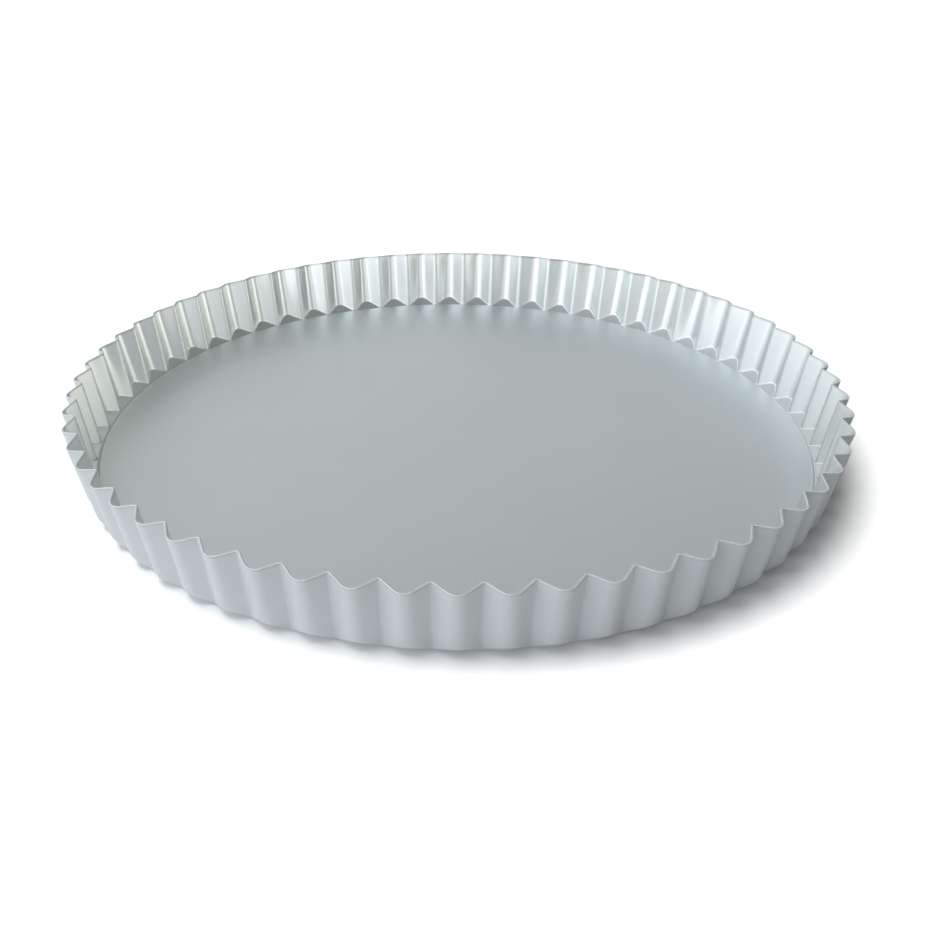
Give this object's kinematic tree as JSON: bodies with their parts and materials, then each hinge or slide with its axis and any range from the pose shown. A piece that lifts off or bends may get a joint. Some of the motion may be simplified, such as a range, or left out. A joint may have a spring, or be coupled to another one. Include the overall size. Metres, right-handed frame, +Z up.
{
  "type": "loose-bottom pie pan",
  "caption": "Round shallow pie or tart pan: a fluted sheet ring with an inward ledge and a flat loose base that lies on the ledge and lifts out.",
  "frame": {"origin": "centre of the pan on the surface that it stands on", "axes": "+Z up along the pan's axis, +X and +Y level, a flute crest on +X"},
  "size_m": [0.2792, 0.2788, 0.0255],
  "materials": {
    "ring_aluminium": "satin anodised, pressed",
    "base_aluminium": "satin anodised, flat sheet"
  },
  "bodies": {
    "ring": {"fluted_ring": "ring_aluminium"},
    "base": {"base_disc": "base_aluminium"}
  },
  "joints": [
    {"name": "base_lift", "type": "slide", "parent": "ring", "child": "base", "axis": [0, 0, 1], "range_m": [0, 0.06]}
  ]
}
